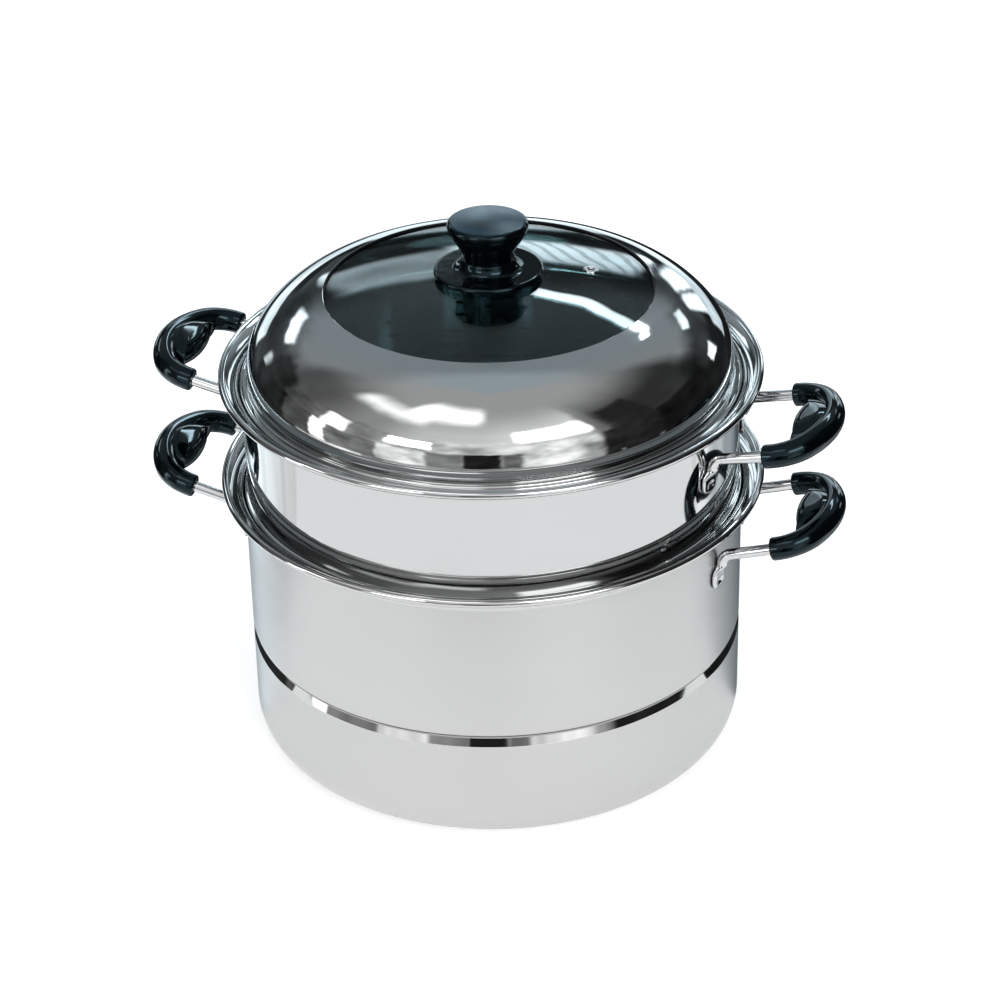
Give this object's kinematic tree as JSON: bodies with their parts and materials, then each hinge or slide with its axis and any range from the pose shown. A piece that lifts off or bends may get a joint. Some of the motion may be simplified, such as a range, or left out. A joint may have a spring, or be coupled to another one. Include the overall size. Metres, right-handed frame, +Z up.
{
  "type": "steamer pot",
  "caption": "Stainless steel steamer pot: wide stock pot, steamer tier nested in its flared rim, and domed lid with a round glass window and black knob; black loop handles left and right.",
  "frame": {"origin": "centre of the pot's underside, on the surface that it stands on", "axes": "+X runs through the right-hand handles, +Y points to the back (the pictured front side faces -Y), +Z is up, out through the knob"},
  "size_m": [0.4538, 0.3464, 0.3553],
  "materials": {
    "steel_satin": "satin pressed stainless steel",
    "steel_polished": "polished stainless steel",
    "steel_rod": "smooth bright steel rod and fasteners",
    "phenolic_black": "glossy black heat-proof phenolic",
    "window_glass": "clear tempered glass with a faint green tint",
    "silicone_grey": "dark grey heat-proof silicone",
    "brass_thread": "turned brass"
  },
  "bodies": {
    "pot": {"pot_shell": "steel_satin", "pot_wire_left": "steel_rod", "pot_wire_right": "steel_rod", "pot_grip_left": "phenolic_black", "pot_grip_right": "phenolic_black"},
    "tier": {"tier_wall": "steel_polished", "tier_plate": "steel_polished", "tier_wire_left": "steel_rod", "tier_wire_right": "steel_rod", "tier_grip_left": "phenolic_black", "tier_grip_right": "phenolic_black"},
    "lid": {"lid_dome": "steel_polished", "lid_glass": "window_glass", "glass_seal": "silicone_grey", "knob_flange": "phenolic_black", "knob_head": "phenolic_black", "knob_insert": "brass_thread", "knob_screw": "steel_rod", "knob_washer": "steel_rod", "knob_pad_upper": "silicone_grey", "knob_pad_lower": "silicone_grey"}
  },
  "joints": [
    {"name": "tier_lift", "type": "slide", "parent": "pot", "child": "tier", "axis": [0, 0, 1], "range_m": [0, 0.12]},
    {"name": "lid_lift", "type": "slide", "parent": "tier", "child": "lid", "axis": [0, 0, 1], "range_m": [0, 0.1]}
  ]
}
